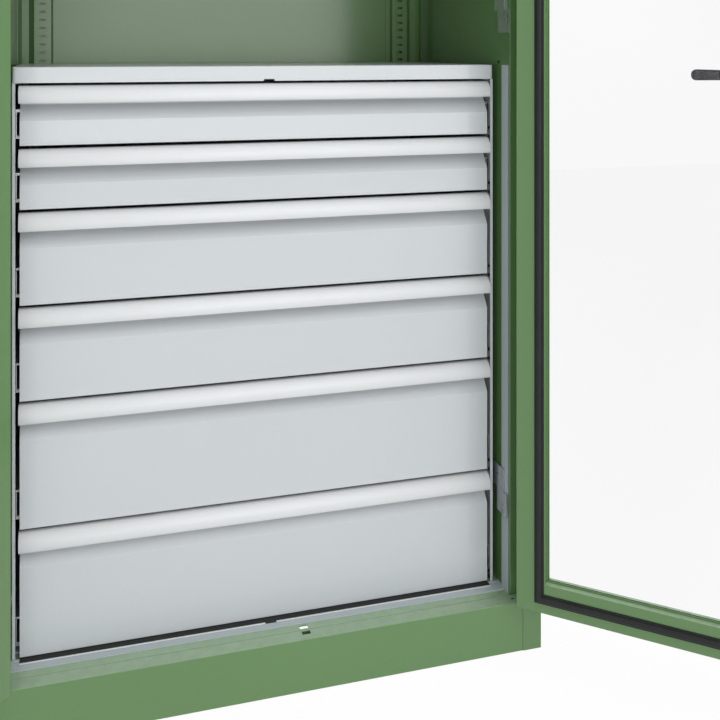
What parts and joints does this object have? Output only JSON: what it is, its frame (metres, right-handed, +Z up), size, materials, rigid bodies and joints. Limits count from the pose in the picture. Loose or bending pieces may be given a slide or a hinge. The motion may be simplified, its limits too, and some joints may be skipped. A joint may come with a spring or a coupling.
{
  "type": "heavy-duty drawer cabinet",
  "caption": "Tall sheet-steel cupboard with a block of telescopic drawers below, shelves above and two windowed swing doors with rubber seals and a rod lock.",
  "frame": {"origin": "on the floor, under the middle of the cupboard's overall box as it stands with both doors open", "axes": "+Z up, +X to the right as seen from the front, the doors and drawers open towards -Y"},
  "size_m": [1.463, 0.8188, 1.95],
  "materials": {
    "green_paint": "semi-gloss powder coat",
    "light_grey": "semi-gloss powder coat",
    "trim_grey": "semi-gloss powder coat",
    "zinc_steel": "zinc plated",
    "black_rubber": "satin",
    "clear_pane": "clear",
    "black_plastic": "matt"
  },
  "bodies": {
    "carcass": {"side_panel_right": "green_paint", "back_panel": "green_paint", "top_panel": "green_paint", "floor_panel": "green_paint", "plinth_panel": "green_paint", "levelling_feet": "zinc_steel", "rear_uprights": "green_paint", "shelf_lower": "green_paint", "shelf_upper": "green_paint", "shelf_clips": "zinc_steel", "housing_side_right": "light_grey", "block_cover": "light_grey", "front_trim": "trim_grey", "fixed_rails": "zinc_steel", "hinge_right_fixed": "zinc_steel", "side_panel_left": "green_paint", "housing_side_left": "light_grey", "hinge_left_fixed": "zinc_steel"},
    "door_right": {"door_right_frame": "green_paint", "door_right_pane": "clear_pane", "door_right_seal": "black_rubber", "hinge_right_leaf": "zinc_steel", "lock_plate": "black_plastic"},
    "door_left": {"door_left_frame": "green_paint", "door_left_pane": "clear_pane", "door_left_seal": "black_rubber", "hinge_left_leaf": "zinc_steel"},
    "lock_handle": {"lock_handle": "black_plastic"},
    "lock_rod_upper": {"lock_rod_upper": "zinc_steel"},
    "lock_rod_lower": {"lock_rod_lower": "zinc_steel"},
    "drawer_1": {"drawer_1_box": "light_grey", "drawer_1_front": "light_grey", "drawer_1_handle": "light_grey", "drawer_1_inner_rails": "zinc_steel"},
    "drawer_2": {"drawer_2_box": "light_grey", "drawer_2_front": "light_grey", "drawer_2_handle": "light_grey", "drawer_2_inner_rails": "zinc_steel"},
    "drawer_3": {"drawer_3_box": "light_grey", "drawer_3_front": "light_grey", "drawer_3_handle": "light_grey", "drawer_3_inner_rails": "zinc_steel"},
    "drawer_4": {"drawer_4_box": "light_grey", "drawer_4_front": "light_grey", "drawer_4_handle": "light_grey", "drawer_4_inner_rails": "zinc_steel"},
    "drawer_5": {"drawer_5_box": "light_grey", "drawer_5_front": "light_grey", "drawer_5_handle": "light_grey", "drawer_5_inner_rails": "zinc_steel"},
    "drawer_6": {"drawer_6_box": "light_grey", "drawer_6_front": "light_grey", "drawer_6_handle": "light_grey", "drawer_6_inner_rails": "zinc_steel"},
    "drawer_1_slides": {"drawer_1_middle_rails": "zinc_steel"},
    "drawer_2_slides": {"drawer_2_middle_rails": "zinc_steel"},
    "drawer_3_slides": {"drawer_3_middle_rails": "zinc_steel"},
    "drawer_4_slides": {"drawer_4_middle_rails": "zinc_steel"},
    "drawer_5_slides": {"drawer_5_middle_rails": "zinc_steel"},
    "drawer_6_slides": {"drawer_6_middle_rails": "zinc_steel"}
  },
  "joints": [
    {"name": "door_right_hinge", "type": "hinge", "parent": "carcass", "child": "door_right", "pos_m": [0.426, -0.09689, 1], "axis": [0, 0, 1], "range_deg": [-137, 43]},
    {"name": "door_left_hinge", "type": "hinge", "parent": "carcass", "child": "door_left", "pos_m": [-0.426, -0.09689, 1], "axis": [0, 0, -1], "range_deg": [-137, 43]},
    {"name": "lock_swivel", "type": "hinge", "parent": "door_right", "child": "lock_handle", "pos_m": [0.69669, -0.35793, 1], "axis": [0.682, 0.7314, 0], "range_deg": [-90, 0]},
    {"name": "lock_rod_upper_slide", "type": "slide", "parent": "door_right", "child": "lock_rod_upper", "axis": [0, 0, 1], "range_m": [0, 0.018]},
    {"name": "lock_rod_lower_slide", "type": "slide", "parent": "door_right", "child": "lock_rod_lower", "axis": [0, 0, -1], "range_m": [0, 0.018]},
    {"name": "drawer_1_slide", "type": "slide", "parent": "carcass", "child": "drawer_1", "axis": [0, -1, 0], "range_m": [0, 0.4]},
    {"name": "drawer_1_middle_slide", "type": "slide", "parent": "carcass", "child": "drawer_1_slides", "axis": [0, -1, 0], "range_m": [0, 0.2]},
    {"name": "drawer_2_slide", "type": "slide", "parent": "carcass", "child": "drawer_2", "axis": [0, -1, 0], "range_m": [0, 0.4]},
    {"name": "drawer_2_middle_slide", "type": "slide", "parent": "carcass", "child": "drawer_2_slides", "axis": [0, -1, 0], "range_m": [0, 0.2]},
    {"name": "drawer_3_slide", "type": "slide", "parent": "carcass", "child": "drawer_3", "axis": [0, -1, 0], "range_m": [0, 0.4]},
    {"name": "drawer_3_middle_slide", "type": "slide", "parent": "carcass", "child": "drawer_3_slides", "axis": [0, -1, 0], "range_m": [0, 0.2]},
    {"name": "drawer_4_slide", "type": "slide", "parent": "carcass", "child": "drawer_4", "axis": [0, -1, 0], "range_m": [0, 0.4]},
    {"name": "drawer_4_middle_slide", "type": "slide", "parent": "carcass", "child": "drawer_4_slides", "axis": [0, -1, 0], "range_m": [0, 0.2]},
    {"name": "drawer_5_slide", "type": "slide", "parent": "carcass", "child": "drawer_5", "axis": [0, -1, 0], "range_m": [0, 0.4]},
    {"name": "drawer_5_middle_slide", "type": "slide", "parent": "carcass", "child": "drawer_5_slides", "axis": [0, -1, 0], "range_m": [0, 0.2]},
    {"name": "drawer_6_slide", "type": "slide", "parent": "carcass", "child": "drawer_6", "axis": [0, -1, 0], "range_m": [0, 0.4]},
    {"name": "drawer_6_middle_slide", "type": "slide", "parent": "carcass", "child": "drawer_6_slides", "axis": [0, -1, 0], "range_m": [0, 0.2]}
  ],
  "couplings": [
    {"joint": "lock_rod_upper_slide", "follows": "lock_swivel", "m_per_rad": -0.011459},
    {"joint": "lock_rod_lower_slide", "follows": "lock_swivel", "m_per_rad": -0.011459},
    {"joint": "drawer_1_middle_slide", "follows": "drawer_1_slide", "ratio": 0.5},
    {"joint": "drawer_2_middle_slide", "follows": "drawer_2_slide", "ratio": 0.5},
    {"joint": "drawer_3_middle_slide", "follows": "drawer_3_slide", "ratio": 0.5},
    {"joint": "drawer_4_middle_slide", "follows": "drawer_4_slide", "ratio": 0.5},
    {"joint": "drawer_5_middle_slide", "follows": "drawer_5_slide", "ratio": 0.5},
    {"joint": "drawer_6_middle_slide", "follows": "drawer_6_slide", "ratio": 0.5}
  ]
}
